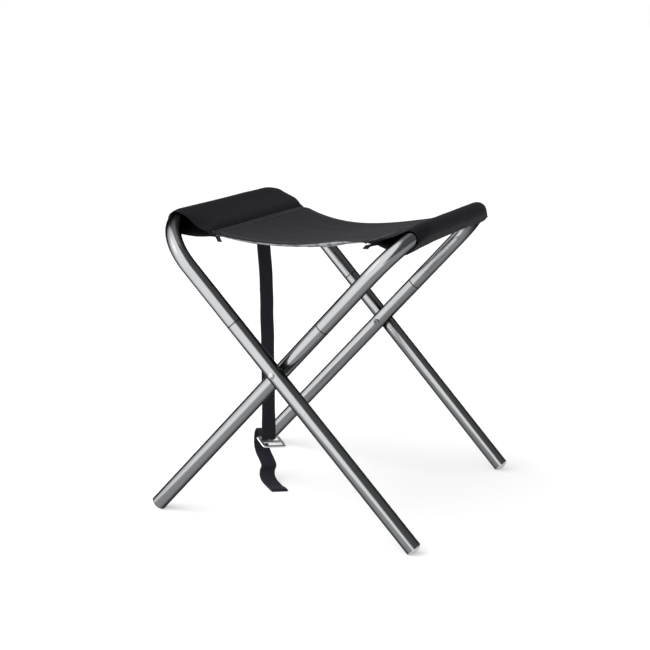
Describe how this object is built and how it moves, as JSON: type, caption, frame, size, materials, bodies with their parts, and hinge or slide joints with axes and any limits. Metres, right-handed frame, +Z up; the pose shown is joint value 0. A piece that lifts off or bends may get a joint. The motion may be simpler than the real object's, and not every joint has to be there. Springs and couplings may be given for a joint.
{
  "type": "folding camp stool",
  "caption": "Folding camp stool with two crossed tube frames on rivet hinges, a sagging sewn cloth seat sleeved over the crossbars, and a hanging webbing strap with a slider buckle.",
  "frame": {"origin": "on the floor, under the middle of the hinge axis between the two frames", "axes": "+Z up, +Y along the hinge axis to the rear, the outer frame's crossbar on the -X side and the inner frame's on the +X side"},
  "size_m": [0.356, 0.363, 0.369],
  "materials": {
    "tube": "satin gunmetal anodised",
    "spigot": "plain drawn",
    "foot_cap": "light grey moulded",
    "rivet": "bright",
    "washer": "black nylon",
    "seat_cloth": "black plain-weave polyester",
    "backing": "grey glossy coated underside",
    "thread": "black sewing thread",
    "binding": "black binding tape",
    "webbing": "black ribbed webbing",
    "buckle": "zinc plated"
  },
  "bodies": {
    "outer_frame": {"outer_top_tube": "tube", "outer_leg_front": "tube", "outer_leg_rear": "tube", "outer_spigot_front": "spigot", "outer_spigot_rear": "spigot", "outer_foot_cap_front": "foot_cap", "outer_foot_cap_rear": "foot_cap", "pivot_rivet_front": "rivet", "pivot_rivet_rear": "rivet", "pivot_washer_front": "washer", "pivot_washer_rear": "washer", "seat_panel": "seat_cloth", "seat_backing": "backing", "outer_sleeve": "seat_cloth", "outer_seam_threads": "thread", "inner_seam_threads": "thread", "outer_seam_tape": "binding", "front_hem_threads": "thread", "rear_hem_threads": "thread"},
    "inner_frame": {"inner_top_tube": "tube", "inner_leg_front": "tube", "inner_leg_rear": "tube", "inner_spigot_front": "spigot", "inner_spigot_rear": "spigot", "inner_foot_cap_front": "foot_cap", "inner_foot_cap_rear": "foot_cap", "inner_sleeve": "seat_cloth", "inner_seam_tape": "binding"},
    "strap": {"strap_webbing": "webbing", "strap_tip_fold": "webbing", "strap_tip_threads": "thread", "strap_buckle": "buckle"}
  },
  "joints": [
    {"name": "frame_fold", "type": "hinge", "parent": "outer_frame", "child": "inner_frame", "pos_m": [0, 0, 0.19304], "axis": [0, -1, 0], "range_deg": [0, 76], "deforming": ["seat_panel", "seat_backing", "outer_sleeve", "outer_seam_threads", "inner_seam_threads", "outer_seam_tape", "front_hem_threads", "rear_hem_threads", "inner_sleeve", "inner_seam_tape"]},
    {"name": "strap_swing", "type": "hinge", "parent": "outer_frame", "child": "strap", "pos_m": [0, 0, 0.19304], "axis": [0, -1, 0], "range_deg": [0, 4.5]}
  ],
  "couplings": [
    {"joint": "strap_swing", "follows": "frame_fold", "ratio": 0.058}
  ]
}
